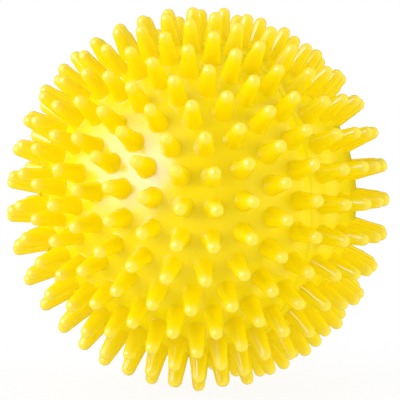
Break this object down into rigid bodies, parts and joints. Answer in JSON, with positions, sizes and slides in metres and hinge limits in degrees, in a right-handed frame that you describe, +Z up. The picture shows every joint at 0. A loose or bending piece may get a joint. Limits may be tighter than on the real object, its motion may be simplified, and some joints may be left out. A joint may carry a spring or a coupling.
{
  "type": "spiky massage ball",
  "caption": "Hollow, air-filled, hand-held massage ball covered all over with blunt conical spikes, moulded as welded half shells, with a valve closed by a pull-out stopper.",
  "frame": {"origin": "centre of the ball", "axes": "+X along the moulding axis, from the plain pole to the valve; +Z up; the seam between the half shells lies in the YZ plane"},
  "size_m": [0.0892, 0.0896, 0.0894],
  "materials": {
    "yellow_vinyl": "soft moulded vinyl, satin gloss, slightly translucent at the spike tips",
    "seat_vinyl": "soft vinyl, satin",
    "stopper_plastic": "natural translucent plastic, satin"
  },
  "bodies": {
    "ball": {"plain_half_shell": "yellow_vinyl", "valve_half_shell": "yellow_vinyl", "valve_seat": "seat_vinyl"},
    "stopper": {"valve_stopper": "stopper_plastic"}
  },
  "joints": [
    {"name": "stopper_pull", "type": "slide", "parent": "ball", "child": "stopper", "axis": [1, 0, 0], "range_m": [0, 0.018]}
  ]
}
